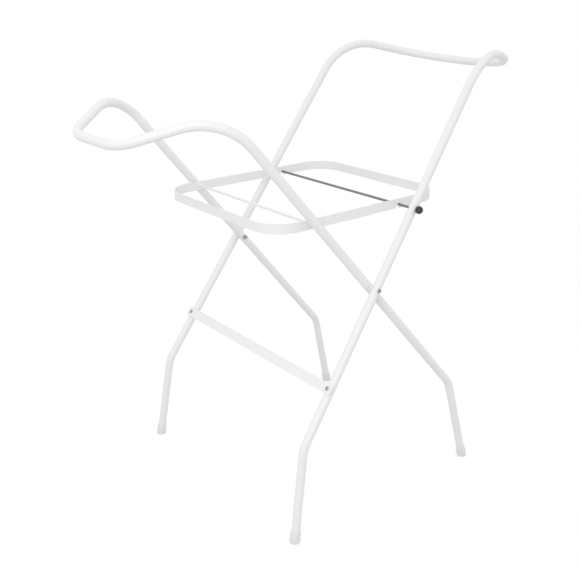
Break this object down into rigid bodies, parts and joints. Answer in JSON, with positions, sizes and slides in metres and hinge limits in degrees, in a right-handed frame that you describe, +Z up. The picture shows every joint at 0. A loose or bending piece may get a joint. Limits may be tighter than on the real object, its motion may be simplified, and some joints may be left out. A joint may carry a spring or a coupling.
{
  "type": "baby bath stand",
  "caption": "Folding stand for a baby bath: two crossed white tube frames with bent hoops at the top, a flat strip ring that holds the tub, and a rod with ball ends that locks it open.",
  "frame": {"origin": "on the floor, under the middle of the stand's length, on its centre plane", "axes": "+X towards the tall hoop, +Y to the right-hand legs as seen from the tall hoop's front, +Z up"},
  "size_m": [1.113, 0.634, 1.034],
  "materials": {
    "powder_coat": "white powder coat, low gloss",
    "moulded_cap": "moulded, satin",
    "rod_steel": "drawn rod, dull zinc",
    "dark_fastener": "dark zinc, satin",
    "black_ball": "moulded, glossy"
  },
  "bodies": {
    "tall_frame": {"tall_leg_left": "powder_coat", "tall_leg_right": "powder_coat", "tall_hoop": "powder_coat", "tall_foot_left": "moulded_cap", "tall_foot_right": "moulded_cap", "pivot_bolts": "dark_fastener", "pivot_nuts": "dark_fastener", "pivot_spacer_left": "moulded_cap", "pivot_spacer_right": "moulded_cap", "leg_brace": "powder_coat", "brace_screws": "dark_fastener", "lock_rod": "rod_steel", "lock_knob_left": "black_ball", "lock_knob_right": "black_ball"},
    "low_frame": {"low_leg_left": "powder_coat", "low_leg_right": "powder_coat", "low_hoop": "powder_coat", "low_foot_left": "moulded_cap", "low_foot_right": "moulded_cap", "ring_rod": "powder_coat", "ring_spacer_left": "moulded_cap", "ring_spacer_right": "moulded_cap"},
    "ring": {"ring_front_strip": "powder_coat", "ring_rear_strip": "powder_coat", "ring_rivets": "powder_coat"}
  },
  "joints": [
    {"name": "fold", "type": "hinge", "parent": "tall_frame", "child": "low_frame", "pos_m": [-0.0275, 0, 0.54], "axis": [0, 1, 0], "range_deg": [0, 70]},
    {"name": "ring_swing", "type": "hinge", "parent": "low_frame", "child": "ring", "pos_m": [-0.17006, 0, 0.704], "axis": [0, 1, 0], "range_deg": [-118, 0]}
  ],
  "couplings": [
    {"joint": "ring_swing", "follows": "fold", "ratio": -1.68}
  ]
}
